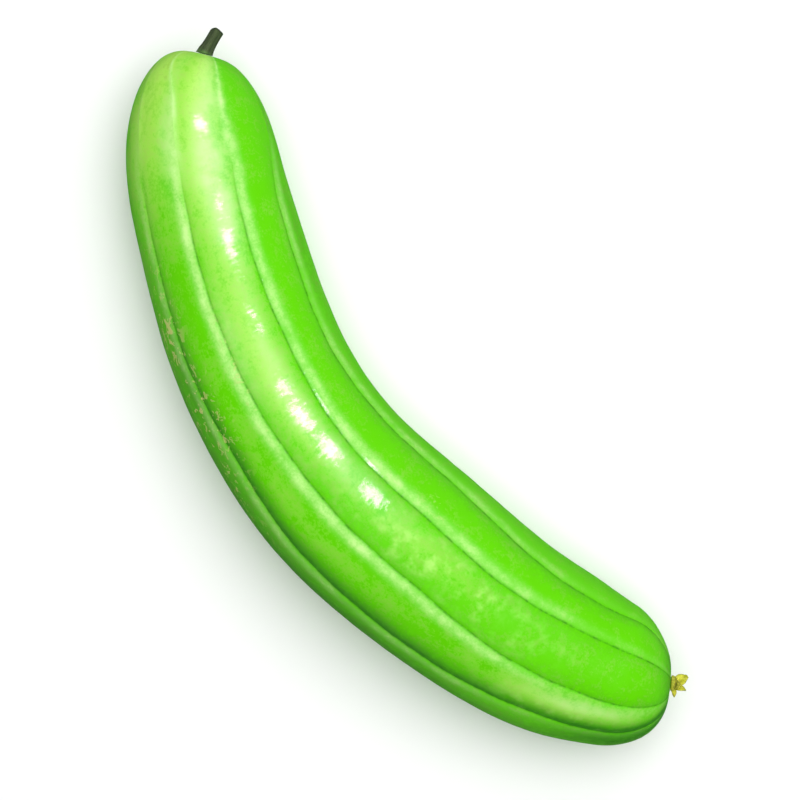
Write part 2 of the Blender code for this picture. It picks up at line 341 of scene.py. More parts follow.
def melonTree():
    # sweeps a ring along the guide, packs its points near the furrows and presses them in
    tree = bpy.data.node_groups.new("melonSweep", "GeometryNodeTree")
    for name, kind in (
        ("Geometry", "Geometry"),
        ("Length", "Float"),
        ("Points per Lobe", "Int"),
        ("Furrow Depth", "Float"),
        ("Ridge Height", "Float"),
        ("Full Furrow Radius", "Float"),
        ("Packing", "Float"),
        ("Broad Unevenness", "Float"),
        ("Fine Unevenness", "Float"),
        ("Seed", "Float"),
        ("Material", "Material"),
    ):
        tree.interface.new_socket(name, in_out="INPUT", socket_type="NodeSocket" + kind)
    tree.interface.new_socket("Geometry", in_out="OUTPUT", socket_type="NodeSocketGeometry")
    given = tree.nodes.new("NodeGroupInput").outputs
    vector1 = "ShaderNodeVectorMath"

    def stored(name, kind="FLOAT"):
        return addNode(tree, "GeometryNodeInputNamedAttribute", [name], data_type=kind)

    def store(geometry, name, value, kind="FLOAT"):
        inputs = {"Geometry": geometry, "Name": name, "Value": value}
        return addNode(tree, "GeometryNodeStoreNamedAttribute", inputs, data_type=kind, domain="POINT")

    # the guide as a curve that carries its own directions
    spine = addNode(tree, "GeometryNodeMeshToCurve", [given["Geometry"]])
    tangent = addNode(tree, "GeometryNodeInputTangent")
    sunk = addNode(tree, vector1, [tangent, None, None, stored("inset")], operation="SCALE")
    middle = addNode(tree, vector1, [addNode(tree, "GeometryNodeInputPosition"), sunk], operation="ADD")
    left = addNode(tree, vector1, [(0, 0, 1), tangent], operation="CROSS_PRODUCT")
    left = addNode(tree, vector1, [left], operation="NORMALIZE")
    upward = addNode(tree, vector1, [tangent, left], operation="CROSS_PRODUCT")
    for name, value in (("centre", middle), ("left", left), ("upward", upward)):
        spine = store(spine, name, value, "FLOAT_VECTOR")

    # the ring, whose points know how far round they are
    round1 = calculate(tree, "MULTIPLY", given["Points per Lobe"], fruit["furrows"])
    ring = addNode(tree, "GeometryNodeCurvePrimitiveCircle", {"Resolution": round1}, mode="RADIUS")
    index = addNode(tree, "GeometryNodeInputIndex")
    inLobes = calculate(tree, "DIVIDE", index, given["Points per Lobe"])
    ring = store(ring, "lobePlace", inLobes)
    body = addNode(tree, "GeometryNodeCurveToMesh", {"Curve": spine, "Profile Curve": ring})

    # the place within a lobe, packed towards the furrows at its sides
    lobePlace = stored("lobePlace")
    lobe = calculate(tree, "ADD", lobePlace, 0.001)
    lobe = calculate(tree, "SNAP", lobe, 1.0)
    part = calculate(tree, "SUBTRACT", lobePlace, lobe)
    wave = calculate(tree, "MULTIPLY", part, 2 * math.pi)
    wave = calculate(tree, "SINE", wave)
    wave = calculate(tree, "MULTIPLY", wave, given["Packing"])
    wave = calculate(tree, "DIVIDE", wave, 2 * math.pi)
    part = calculate(tree, "SUBTRACT", part, wave)

    # the angle there, between the courses of the two furrows
    courses = [stored(f"course{n}") for n in range(fruit["furrows"])]
    fullTurn = calculate(tree, "ADD", courses[0], 360.0)
    sides = []
    for choices in (courses, courses[1:] + [fullTurn]):
        switch = tree.nodes.new("GeometryNodeIndexSwitch")
        switch.data_type = "FLOAT"
        while len(switch.index_switch_items) < len(choices):
            switch.index_switch_items.new()
        tree.links.new(lobe, switch.inputs["Index"])
        for choice, socket in zip(choices, list(switch.inputs)[1:]):
            tree.links.new(choice, socket)
        sides.append(switch.outputs[0])
    width = calculate(tree, "SUBTRACT", sides[1], sides[0])
    degrees = calculate(tree, "MULTIPLY_ADD", part, width, sides[0])
    angle = calculate(tree, "RADIANS", degrees)

    # degrees from the nearest furrow, and whether that is on its side away from the fruit's top
    across = calculate(tree, "SUBTRACT", 1.0, part)
    across = calculate(tree, "MINIMUM", across, part)
    near = calculate(tree, "MULTIPLY", across, width)
    nearShare = calculate(tree, "DIVIDE", near, fruit["furrowReach"], clamp=True)
    after = calculate(tree, "SUBTRACT", 0.5, part)
    afterSign = calculate(tree, "SIGN", after)
    isAfter = calculate(tree, "GREATER_THAN", afterSign, 0.0)
    nearest = mixNumbers(tree, isAfter, sides[1], sides[0])
    nearest = calculate(tree, "RADIANS", nearest)
    nearest = calculate(tree, "SINE", nearest)
    outward = calculate(tree, "SIGN", nearest)
    outward = calculate(tree, "MULTIPLY", outward, afterSign)
    outward = calculate(tree, "MAXIMUM", outward, 0.0)
    number = calculate(tree, "ADD", lobe, 1.0)
    number = calculate(tree, "SUBTRACT", number, isAfter)

    # relief: a sharp valley, steeper on its side away from the top, and ridges by the stalk instead
    profiles = {}
    for name, points in furrowProfiles.items():
        profiles[name] = addNode(tree, "ShaderNodeFloatCurve", {"Value": nearShare})
        drawCurve(profiles[name], [(off / fruit["furrowReach"], height) for off, height in points])
    relief = mixNumbers(tree, outward, profiles["towardsTop"], profiles["awayFromTop"])
    relief = calculate(tree, "MULTIPLY", relief, given["Furrow Depth"])
    ridge = calculate(tree, "MULTIPLY", profiles["ridge"], given["Ridge Height"])
    ridge = calculate(tree, "MULTIPLY", ridge, -1.0)
    share = stored("share")
    nearStalk = mapRange(tree, share, *fruit["ridgeFades"], 1.0, 0.0, "SMOOTHSTEP")
    relief = mixNumbers(tree, nearStalk, relief, ridge)
    radius = stored("halfWidth")
    fullRadius = given["Full Furrow Radius"]
    depthShare = calculate(tree, "DIVIDE", radius, fullRadius, clamp=True)
    relief = calculate(tree, "MULTIPLY", relief, depthShare)

    # the same place on a straight fruit, for patterns that follow the skin without a seam
    cosine = calculate(tree, "COSINE", angle)
    sine = calculate(tree, "SINE", angle)
    pairs = ((share, given["Length"]), (sine, radius), (cosine, radius))
    straight = [calculate(tree, "MULTIPLY", *pair) for pair in pairs]
    straight = addNode(tree, "ShaderNodeCombineXYZ", straight)
    reach = calculate(tree, "SUBTRACT", radius, relief)
    for scale, strength in ((24.0, "Broad Unevenness"), (120.0, "Fine Unevenness")):
        inputs = {"Vector": straight, "W": given["Seed"], "Scale": scale, "Detail": 2.0}
        bumps = addNode(tree, "ShaderNodeTexNoise", inputs, noise_dimensions="4D")
        bumps = calculate(tree, "SUBTRACT", bumps, 0.5)
        bumps = calculate(tree, "MULTIPLY", bumps, depthShare)
        reach = calculate(tree, "MULTIPLY_ADD", bumps, given[strength], reach)

    # the point itself, no lower than the surface that the fruit lies on
    upward = stored("upward", "FLOAT_VECTOR")
    offset = addNode(tree, vector1, [upward, None, None, cosine], operation="SCALE")
    left = stored("left", "FLOAT_VECTOR")
    sideways = addNode(tree, vector1, [left, None, None, sine], operation="SCALE")
    offset = addNode(tree, vector1, [offset, sideways], operation="SUBTRACT")
    offset = addNode(tree, vector1, [offset, None, None, reach], operation="SCALE")
    point = addNode(tree, vector1, [offset, stored("centre", "FLOAT_VECTOR")], operation="ADD")
    split = addNode(tree, "ShaderNodeSeparateXYZ", [point]).node
    height = calculate(tree, "MAXIMUM", split.outputs["Z"], 0.0)
    point = addNode(tree, "ShaderNodeCombineXYZ", [split.outputs["X"], split.outputs["Y"], height])

    for name, kind, value in (
        ("angle", "FLOAT", degrees),
        ("straight", "FLOAT_VECTOR", straight),
        ("crease", "FLOAT", profiles["crease"]),
        ("outward", "FLOAT", outward),
        ("near", "FLOAT", near),
        ("furrow", "FLOAT", number),
    ):
        body = store(body, name, value, kind)
    body = addNode(tree, "GeometryNodeSetPosition", {"Geometry": body, "Position": point})
    body = addNode(tree, "GeometryNodeMergeByDistance", {"Geometry": body, "Distance": 0.000001})
    body = addNode(tree, "GeometryNodeSetShadeSmooth", {"Geometry": body})
    body = addNode(tree, "GeometryNodeRealizeInstances", {"Geometry": body})
    body = addNode(tree, "GeometryNodeSetMaterial", {"Geometry": body, "Material": given["Material"]})
    end = tree.nodes.new("NodeGroupOutput")
    tree.links.new(body, end.inputs["Geometry"])
    return tree


# heights of the furrow's profile by degrees from it, up to its reach, as shares of its depth
furrowProfiles = {
    "towardsTop": ((0, 1.0), (0.5, 0.92), (1.3, 0.74), (3, 0.46), (6, 0.20), (11, 0.05), (18, 0.0)),
    "awayFromTop": ((0, 1.0), (0.5, 0.86), (1.2, 0.62), (3, 0.32), (6, 0.16), (11, 0.05), (18, 0.0)),
    "ridge": ((0, 1.0), (1.0, 0.75), (3, 0.28), (6, 0.06), (12, 0.0), (18, 0.0)),
    # where shade is painted in each crease, and where the skin is duller
    "crease": ((0, 1.0), (0.35, 0.85), (0.9, 0.30), (1.7, 0.05), (4, 0.0), (18, 0.0)),
}


def read(mesh, name):
    values = np.zeros(len(mesh.vertices), np.float32)
    mesh.attributes[name].data.foreach_get("value", values)
    return values


def write(mesh, name, values):
    mesh.attributes.new(name, "FLOAT", "POINT").data.foreach_set("value", np.asarray(values, np.float32))


def spotted(share, angle, spots):
    # soft spots, each at a share of the length and an angle, with its reach along and round
    total = np.zeros(len(share))
    for where, turn, reachAlong, reachRound, strength in spots:
        off = (angle - turn + 180) % 360 - 180
        total += strength * np.exp(-(((share - where) / reachAlong) ** 2) - (off / reachRound) ** 2)
    return np.clip(total, 0, 1)


# soft spots on the skin: share of the length, angle, reach along, reach round, strength
skinSpots = {
    # paler skin, and a painted sheen along the middle of the top
    "palerSkinAndSheen": (
        (0.03, 42, 0.15, 30, 0.95),
        (0.02, -6, 0.06, 17, 0.75),
        (0.14, -4, 0.10, 16, 0.80),
        (0.34, -3, 0.12, 16, 0.60),
        (0.46, -9, 0.09, 12, 0.45),
        (0.66, -10, 0.08, 12, 0.35),
        (0.52, 30, 0.16, 8, 0.28),
        (0.88, 30, 0.09, 9, 0.75),
    ),
    # a whitish bloom, and a painted sheen round and between the highlights
    "bloomAndSheenSpots": (
        (0.05, -13, 0.05, 12, 0.45),
        (0.14, -9, 0.06, 11, 0.75),
        (0.21, -10, 0.05, 9, 0.55),
        (0.10, 22, 0.07, 7, 0.30),
        (0.36, 9, 0.06, 7, 0.20),
        (0.34, -9, 0.05, 6, 0.20),
        (0.43, -9, 0.06, 8, 0.30),
        (0.53, -13, 0.07, 7, 0.35),
        (0.90, 27, 0.05, 5, 0.50),
    ),
    # darker skin, and painted shade on the outer bend's flank, beside a furrow and towards the flower's end
    "darkerSkinAndShade": (
        (0.36, 54, 0.10, 7, 0.45),
        (0.58, 80, 0.30, 24, 0.70),
        (0.24, -67, 0.12, 9, 0.25),
        (0.96, 58, 0.07, 16, 0.80),
        (1.0, 0, 0.012, 400, 0.45),
    ),
    "speckled": (
        (0.70, -4, 0.13, 13, 1.0),
        (0.36, 5, 0.10, 12, 0.35),
        (0.88, 34, 0.08, 12, 0.5),
    ),
    "scarred": (
        (0.32, 58, 0.09, 13, 1.0),
        (0.41, 47, 0.06, 13, 0.7),
        (0.46, 66, 0.07, 9, 0.7),
        (0.38, 15, 0.07, 3, 0.5),
        (0.64, -34, 0.02, 6, 0.45),
    ),
    "ground": ((0.45, 180, 0.26, 30, 0.9), (0.62, 176, 0.2, 26, 0.5)),
    "shiny": (
        (0.087, -4.5, 0.012, 6.5, 1.0),
        (0.231, -6.0, 0.009, 7.0, 1.1),
        (0.252, -8.0, 0.012, 4.5, 0.8),
        (0.195, -8.0, 0.020, 4.0, 0.45),
        (0.320, -9.0, 0.009, 4.0, 0.6),
        (0.344, -10.5, 0.009, 4.0, 0.65),
        (0.413, -9.5, 0.013, 7.5, 0.9),
        (0.455, -9.0, 0.020, 7.5, 0.9),
        (0.505, -13.0, 0.018, 6.5, 1.2),
        (0.578, -14.5, 0.018, 6.5, 1.2),
        (0.455, -26.5, 0.028, 1.6, 0.9),
        (0.552, -27.5, 0.012, 3.2, 1.1),
    ),
}

# how pale each furrow's band is on its side away from the top, and how pale its ridge by the stalk
bandStrengths = {0: (0.95, 0.8), 9: (0.75, 1.0), 8: (0.35, 0.0), 1: (0.40, 0.2)}
otherBandStrength = (0.30, 0.30)

# how strong the painted shade is beside each furrow, on its side towards the top
shadeStrengths = {1: 0.85, 8: 0.25, 0: 0.20, 9: 0.15}
otherShadeStrength = 0.2

# how far these lie and reach from a furrow in degrees, and where along the fruit they begin or end
skinMarks = {
    "shadeReach": 9.5,
    "shadeBegins": (0.2, 0.5),
    "bandPlace": 4.0,
    "bandReach": 3.4,
    "bandTowardsTop": 0.06,
    "bandThins": (0.70, 0.90),
    "bandThinsBy": 0.8,
    "ridgeReach": 1.6,
    "ridgeWidens": 20,
    "paleRidgeFades": (0.06, 0.18),
    "creaseBegins": (0.12, 0.26),
}


def paintSkin(mesh):
    # what the material reads at each point of the skin
    share = read(mesh, "share")
    angle = read(mesh, "angle")
    near = read(mesh, "near")
    outward = read(mesh, "outward")
    furrow = np.rint(read(mesh, "furrow")).astype(int) % fruit["furrows"]
    masks = {name: spotted(share, angle, spots) for name, spots in skinSpots.items()}
    marks = skinMarks

    def ofFurrow(strengths, other):
        return np.array([strengths.get(n, other) for n in range(fruit["furrows"])])[furrow]

    # painted shade beside each furrow, on its side towards the top, joined to the darker skin and painted
    # shade of the spots
    shades = ofFurrow(shadeStrengths, otherShadeStrength)
    shade = np.exp(-((near / marks["shadeReach"]) ** 2)) * (1 - outward) * shades
    shade = shade * smoothStep(*marks["shadeBegins"], share)
    masks["darkerSkinAndShade"] = np.clip(masks["darkerSkinAndShade"] + shade, 0, 1)
    for name, values in masks.items():
        write(mesh, name, values)
    # pale bands: on the far side of each furrow, and on the furrow itself by the stalk
    strengths = ofFurrow(bandStrengths, otherBandStrength)
    strengths = strengths * (1 - marks["bandThinsBy"] * smoothStep(*marks["bandThins"], share))[:, None]
    byStalk = 1 - smoothStep(*marks["paleRidgeFades"], share)
    low = marks["bandTowardsTop"]
    band = np.exp(-(((near - marks["bandPlace"]) / marks["bandReach"]) ** 2))
    band = band * (low + (1 - low) * outward) * strengths[:, 0]
    ridge = np.exp(-((near / (marks["ridgeReach"] + marks["ridgeWidens"] * share)) ** 2)) * strengths[:, 1]
    write(mesh, "paleBand", band * (1 - byStalk) + ridge * byStalk)
    # the painted shade in the creases comes in along the fruit
    crease = read(mesh, "crease") * smoothStep(*marks["creaseBegins"], share)
    mesh.attributes["crease"].data.foreach_set("value", crease.astype(np.float32))
    spare = [a.name for a in mesh.attributes if a.name.startswith("course")]
    spare += ["centre", "left", "upward", "lobePlace", "near", "outward", "halfWidth", "inset", "furrow"]
    for name in spare:
        mesh.attributes.remove(mesh.attributes[name])


# noise on the skin: scale, detail, roughness and distortion
rindPatterns = {
    "clouds": (80.0, 5.0, 0.6),       # about 12 mm across
    "mottle": (330.0, 4.0, 0.65),     # about 3 mm across
    "grain": (1000.0, 3.0, 0.6),      # about 1 mm across
    "smudges": (190.0, 2.0, 0.55),    # about 5 mm across
    "strokes": (85.0, 4.0, 0.65),
    "patches": (210.0, 3.0, 0.5, 1.2),
    "wrinkles": (700.0, 3.0, 0.6),
}

rindColours = {
    "green": "#5FD000",
    # paler skin, and also a painted sheen
    "pale": "#AEE95A",
    # darker skin, and also painted shade
    "darkAndShaded": "#2F8A06",
    "band": "#C2F490",
    # whitish bloom, and also a painted sheen
    "bloomAndSheen": "#DCFCB8",
    # painted shade in the creases
    "crease": "#348C0E",
    "speckle": "#B8F078",
    "cork": "#CCD07C",
    "ground": "#E4EFA0",
}

rindFinish = {"IOR": 1.33, "Specular IOR Level": 0.15, "Coat Roughness": 0.2, "Coat IOR": 1.5}


def melonRind():
    # waxy melon rind, grown: a smooth skin with a soft gloss, fine relief and cloudy greens, with a painted
    # sheen and painted shade among them
    material, tree, shader = newMaterial("waxyMelonRind")
    colours = {name: linearColour(value) for name, value in rindColours.items()}
    straight = meshValue(tree, "straight", "Vector")
    masks = {name: meshValue(tree, name) for name in (*skinSpots, "paleBand", "crease")}

    def pattern(name, vector=straight):
        return noiseTexture(tree, vector, *rindPatterns[name])

    # cloudy, mottled and grainy greens, paler where the skin is paler and where a sheen is painted, darker
    # where the skin is darker and where shade is painted
    clouds = pattern("clouds")
    mottle = pattern("mottle")
    grain = pattern("grain")
    cloudy = mapRange(tree, clouds, 0.35, 0.65, -0.16, 0.16)
    mottled = mapRange(tree, mottle, 0.35, 0.65, -0.17, 0.17)
    grained = mapRange(tree, grain, 0.35, 0.65, -0.12, 0.12)
    patchy = calculate(tree, "ADD", cloudy, mottled)
    patchy = calculate(tree, "ADD", patchy, grained)

    palerSkinAndSheen = calculate(tree, "ADD", masks["palerSkinAndSheen"], patchy, clamp=True)
    colour = mixColours(tree, palerSkinAndSheen, colours["green"], colours["pale"])
    darkerSkinAndShade = calculate(tree, "MULTIPLY_ADD", patchy, 0.6, masks["darkerSkinAndShade"], clamp=True)
    colour = mixColours(tree, darkerSkinAndShade, colour, colours["darkAndShaded"])

    # the pale bands thin out here and there
    bandShare = mapRange(tree, clouds, 0.3, 0.7, 0.35, 1.0)
    band = calculate(tree, "MULTIPLY", masks["paleBand"], bandShare)
    worn = calculate(tree, "MULTIPLY_ADD", patchy, 1.2, 1.0)
    band = calculate(tree, "MULTIPLY", band, worn, clamp=True)
    colour = mixColours(tree, band, colour, colours["band"])

    # a whitish bloom and a painted sheen round the highlights, most of it by the stalk, thinner here and
    # there
    bloomAndSheen = calculate(tree, "MULTIPLY", masks["bloomAndSheenSpots"], bandShare, clamp=True)
    colour = mixColours(tree, bloomAndSheen, colour, colours["bloomAndSheen"])

    # soft pale smudges in loose drifts, where the skin is speckled
    smudges = pattern("smudges")
    flecks = mapRange(tree, smudges, 0.40, 0.72, 0.0, 0.70, "SMOOTHSTEP")
    drifts = mapRange(tree, clouds, 0.38, 0.60, 0.15, 1.0, "SMOOTHSTEP")
    flecks = calculate(tree, "MULTIPLY", flecks, drifts)
    flecks = calculate(tree, "MULTIPLY", flecks, masks["speckled"], clamp=True)
    colour = mixColours(tree, flecks, colour, colours["speckle"])

    # painted shade in the crease of each furrow, broken up a little along its way
    breaks = mapRange(tree, mottle, 0.35, 0.65, 0.20, 0.90)
    crease = calculate(tree, "MULTIPLY", masks["crease"], breaks, clamp=True)
    colour = mixColours(tree, crease, colour, colours["crease"])

    # corky scars: short crooked strokes and small patches, beige, in loose groups
    strokes = pattern("strokes")
    strokes = calculate(tree, "SUBTRACT", strokes, 0.5)
    strokes = calculate(tree, "ABSOLUTE", strokes)
    strokes = mapRange(tree, strokes, 0.0, 0.034, 0.9, 0.0, "SMOOTHSTEP")
    groups = mapRange(tree, smudges, 0.52, 0.58, 0.0, 1.0, "SMOOTHSTEP")
    strokes = calculate(tree, "MULTIPLY", strokes, groups)
    patches = pattern("patches")
    patches = mapRange(tree, patches, 0.60, 0.65, 0.0, 0.85, "SMOOTHSTEP")
    scars = calculate(tree, "MAXIMUM", strokes, patches)
    scars = calculate(tree, "MULTIPLY", scars, masks["scarred"], clamp=True)
    colour = mixColours(tree, scars, colour, colours["cork"])

    colour = mixColours(tree, masks["ground"], colour, colours["ground"])
    tree.links.new(colour, shader.inputs["Base Color"])

    # the wax is dull, but for shiny patches with ragged edges; scars and creases are duller still
    rough = mapRange(tree, mottle, 0.3, 0.7, 0.42, 0.55)
    wrinkles = addNode(tree, "ShaderNodeVectorMath", [straight, (1.0, 0.3, 1.0)], operation="MULTIPLY")
    wrinkles = pattern("wrinkles", wrinkles)
    ragged = mapRange(tree, wrinkles, 0.3, 0.7, -0.38, 0.38)
    ragged = calculate(tree, "ADD", ragged, masks["shiny"])
    ragged = calculate(tree, "ADD", ragged, mottled)
    shine = mapRange(tree, ragged, 0.15, 1.10, 0.0, 1.0, "SMOOTHSTEP")
    dull = calculate(tree, "MAXIMUM", scars, masks["crease"])
    rough = mixNumbers(tree, dull, rough, 0.7)
    tree.links.new(rough, shader.inputs["Roughness"])
    tree.links.new(shine, shader.inputs["Coat Weight"])
    for name, value in rindFinish.items():
        shader.inputs[name].default_value = value

    # grainy and mottled relief, and that of the scars
    bump = bumpMap(tree, grain, 0.5, 0.00006)
    bump = bumpMap(tree, mottle, 0.6, 0.00014, bump)
    bump = bumpMap(tree, scars, 0.6, 0.0002, bump)
    tree.links.new(bump, shader.inputs["Normal"])
    return material


def makeFruit():
    guide, length = fruitGuide()
    tree = melonTree()
    values = {
        "Length": length,
        "Points per Lobe": fruit["pointsPerLobe"],
        "Furrow Depth": fruit["furrowDepth"],
        "Ridge Height": fruit["ridgeHeight"],
        "Full Furrow Radius": fruit["fullFurrowRadius"],
        "Packing": fruit["packing"],
        "Broad Unevenness": fruit["broadUnevenness"],
        "Fine Unevenness": fruit["fineUnevenness"],
        "Seed": float(fruit["seed"]),
        "Material": melonRind(),
    }
    melon = convertToMesh(guide, tree, values, "melonSkin")
    paintSkin(melon.data)
    place(melon, "melon_fruit", "melon_skin")


# Stalk: a cut stub with five ribs and fine fibres, its foot wider on the outer bend's side

stalk = {
    "gap": 0.0004,
    "radius": 0.0028,
    "footRadius": 0.0038,
    "footShift": -0.0008,          # away from the inner bend
    "footLength": 0.007,
    "footFlatness": 0.18,          # how much less the foot flares towards the inner bend
    "flatRings": 0.0015,           # along which the rings turn from the fruit's skin to the stalk's lean
    "length": 0.0124,
    "leans": (-14.0, -18.0),       # degrees at its foot and at its cut
    "ribs": 5,
    "ribHeight": 0.06,
    "grooveDepth": 0.05,
    "grooveWidth": 0.35,
    "fibreHeight": 0.014,
    "cutRounding": 0.0030,         # on the outer bend's side
    "cutRoundingPlace": (0.4, 0.6),  # where it begins and how far it goes, as shares of the radius
    "cutSlant": 0.0006,
    "cutHollow": 0.0003,
    "darkByCut": 0.0011,           # how far below the cut the stalk is darker
    "paleByFoot": 0.0022,          # how far above its foot it is paler
    "rimRounding": 0.00025,
    "axisSteps": 60,
    "sides": 120,
    "rings": 56,
    "cutRings": 12,
    "colours": {
        "deep": "#2A3A1A",
        "light": "#46562A",
        "foot": "#5E8A3C",
        "cut": "#8E9463",
        # painted shade in the grooves and on the flanks, and the darker rim by the cut
        "groove": "#16260C",
    },
    "seed": 11,
}


def ringSkin(name, rings, poles, attributes):
    # a closed skin over rings of equally many points, with a pole at each end and a number at each point
    rows = len(rings)
    around = len(rings[0])
    points = [tuple(poles[0])] + [tuple(point) for ring in rings for point in ring] + [tuple(poles[1])]
    last = len(points) - 1
    faces = []
    for side in range(around):
        after = (side + 1) % around
        faces.append((0, 1 + after, 1 + side))
        for row in range(rows - 1):
            low = 1 + row * around
            faces.append((low + side, low + after, low + around + after, low + around + side))
        faces.append((last - around + side, last - around + after, last))
    mesh = bpy.data.meshes.new(name)
    mesh.from_pydata(points, [], faces)
    for key, numbers in attributes.items():
        values = [numbers[0][0]] + [value for ring in numbers for value in ring] + [numbers[-1][0]]
        write(mesh, key, values)
    shape = bmesh.new()
    shape.from_mesh(mesh)
    bmesh.ops.recalc_face_normals(shape, faces=shape.faces)
    for face in shape.faces:
        face.smooth = True
    shape.to_mesh(mesh)
    shape.free()
    return mesh


def cutDrop(place):
    # how far the cut end is below its top, from -1 on the outer bend's side to 1 on the inner,
    # with a rounding that stops just short of a quarter circle
    begins, reach = stalk["cutRoundingPlace"]
    rounded = min(max((-begins - place) / reach, 0.0), 1.0)
    drop = stalk["cutRounding"] * (1 - math.sqrt(1 - 0.98 * rounded**2))
    return drop + stalk["cutSlant"] * max(place, 0) ** 2


def stalkMaterial():
    # green stalk, drying: dull, dark and fibrous along its length, with painted shade in its grooves and on
    # its flanks, and darker at its cut
    material, tree, shader = newMaterial("dryingGreenStalk")
    colours = {name: linearColour(value) for name, value in stalk["colours"].items()}
    lengthwise = meshValue(tree, "lengthwise", "Vector")
    darkAndShaded = meshValue(tree, "darkAndShaded")
    foot = meshValue(tree, "foot")
    cut = meshValue(tree, "cut")
    fibres = addNode(tree, "ShaderNodeVectorMath", [lengthwise, (0.12, 1.0, 1.0)], operation="MULTIPLY")
    fibres = noiseTexture(tree, fibres, 2600.0, 4.0, 0.6)
    streaks = mapRange(tree, fibres, 0.35, 0.65, 0.0, 1.0)
    colour = mixColours(tree, streaks, colours["deep"], colours["light"])
    colour = mixColours(tree, foot, colour, colours["foot"])
    colour = mixColours(tree, cut, colour, colours["cut"])
    # painted shade in the grooves and on the flanks, and the darker rim by the cut
    colour = mixColours(tree, darkAndShaded, colour, colours["groove"])
    tree.links.new(colour, shader.inputs["Base Color"])
    shader.inputs["Roughness"].default_value = 0.8
    shader.inputs["IOR"].default_value = 1.45
    tree.links.new(bumpMap(tree, fibres, 0.5, 0.0001), shader.inputs["Normal"])
    return material


def makeStalk():
    path, _ = smoothPath(fruit["sections"])
    start, forward, left, up = frameAt(path, 0.0)
    depth, width = fruit["stalkHollow"]
    rim = stalk["footRadius"] + abs(stalk["footShift"])
    sunk = depth * math.exp(-((rim / width) ** 2)) - stalk["gap"]
    foot = start + forward * sunk + left * stalk["footShift"]

    # the bent axis: places, and directions across it, at even steps
    steps = stalk["axisSteps"]
    axis = [foot.copy()]
    across = []
    for step in range(steps + 1):
        lean = np.interp(step / steps, (0, 1), stalk["leans"])
        turn = Matrix.Rotation(math.radians(lean), 3, up)
        across.append(turn @ left)
        axis.append(axis[-1] - turn @ forward * (stalk["length"] / steps))

    def pointAt(along, angle, reach):
        place = min(max(along / stalk["length"], 0.0), 1.0) * steps
        low = min(int(place), steps - 1)
        centre = axis[low].lerp(axis[low + 1], place - low)
        level = smoothStep(0.0, stalk["flatRings"], along)
        sideways = left.lerp(across[low], float(level))
        return centre + reach * (math.cos(angle) * up + math.sin(angle) * sideways)

    draw = np.random.default_rng(stalk["seed"])
    waves = [(n, draw.uniform(0, 2 * math.pi), draw.uniform(0.3, 1.0)) for n in (9, 14, 23, 31, 37)]
    angles = [2 * math.pi * side / stalk["sides"] for side in range(stalk["sides"])]

    def reachAt(along, angle):
        flare = max(0.0, 1 - along / stalk["footLength"]) ** 2
        flare *= 1 - stalk["footFlatness"] * max(0, math.sin(angle))
        radius = stalk["radius"] + (stalk["footRadius"] - stalk["radius"]) * flare
        groove = math.sin(stalk["ribs"] * angle / 2 + math.pi / 2) / stalk["grooveWidth"]
        groove = math.exp(-(groove**2))
        fibre = sum(size * math.cos(n * angle + phase + 90 * along * n) for n, phase, size in waves) / 3
        shape = 1 + stalk["ribHeight"] * math.cos(stalk["ribs"] * angle)
        return radius * (shape - stalk["grooveDepth"] * groove + stalk["fibreHeight"] * fibre), groove

    rings = []
    values = {"darkAndShaded": [], "foot": [], "cut": []}
    lengthwise = []
    for row in range(stalk["rings"]):
        share = row / (stalk["rings"] - 1)
        ring = []
        for key in values:
            values[key].append([])
        for angle in angles:
            top = stalk["length"] - cutDrop(math.sin(angle))
            along = top * share
            reach, groove = reachAt(along, angle)
            rimShare = max(0.0, 1 - (top - along) / stalk["rimRounding"])
            ring.append(pointAt(along, angle, reach - stalk["rimRounding"] * rimShare**2))
            # painted shade in the grooves and on the flanks, and darker right below the cut
            flankShade = float(smoothStep(0.55, 0.95, abs(math.sin(angle))))
            nearCut = float(smoothStep(stalk["darkByCut"], 0.0, top - along))
            values["darkAndShaded"][-1].append(min(1.0, 0.45 * groove + 0.55 * flankShade + nearCut))
            values["foot"][-1].append(float(1 - smoothStep(0.0, stalk["paleByFoot"], along)) * 0.6)
            values["cut"][-1].append(0.0)
            lengthwise.append((along, reach * math.cos(angle), reach * math.sin(angle)))
        rings.append(ring)
    for row in range(1, stalk["cutRings"]):
        inner = 1 - row / stalk["cutRings"]
        ring = []
        for key in values:
            values[key].append([])
        for angle in angles:
            along = stalk["length"] - cutDrop(math.sin(angle) * inner) - stalk["cutHollow"] * (1 - inner**2)
            reach, _ = reachAt(stalk["length"], angle)
            ring.append(pointAt(along, angle, (reach - stalk["rimRounding"]) * inner))
            values["darkAndShaded"][-1].append(0.9 * float(smoothStep(0.6, 0.95, inner)))
            values["foot"][-1].append(0.0)
            values["cut"][-1].append(1.0)
            lengthwise.append((along, reach * inner * math.cos(angle), reach * inner * math.sin(angle)))
        rings.append(ring)
    top = pointAt(stalk["length"] - cutDrop(0.0) - stalk["cutHollow"], 0.0, 0.0)
    mesh = ringSkin("cutStalk", rings, (foot, top), values)
    lengthwise = [lengthwise[0]] + lengthwise + [lengthwise[-1]]
    vectors = mesh.attributes.new("lengthwise", "FLOAT_VECTOR", "POINT").data
    vectors.foreach_set("vector", np.array(lengthwise, np.float32).ravel())
    mesh.materials.append(stalkMaterial())
    place(newObject("cutStalk", mesh), "fruit_stalk", "green_stalk")


# Flower: a small dried base with five shrivelled petals, each a thin crumpled sheet

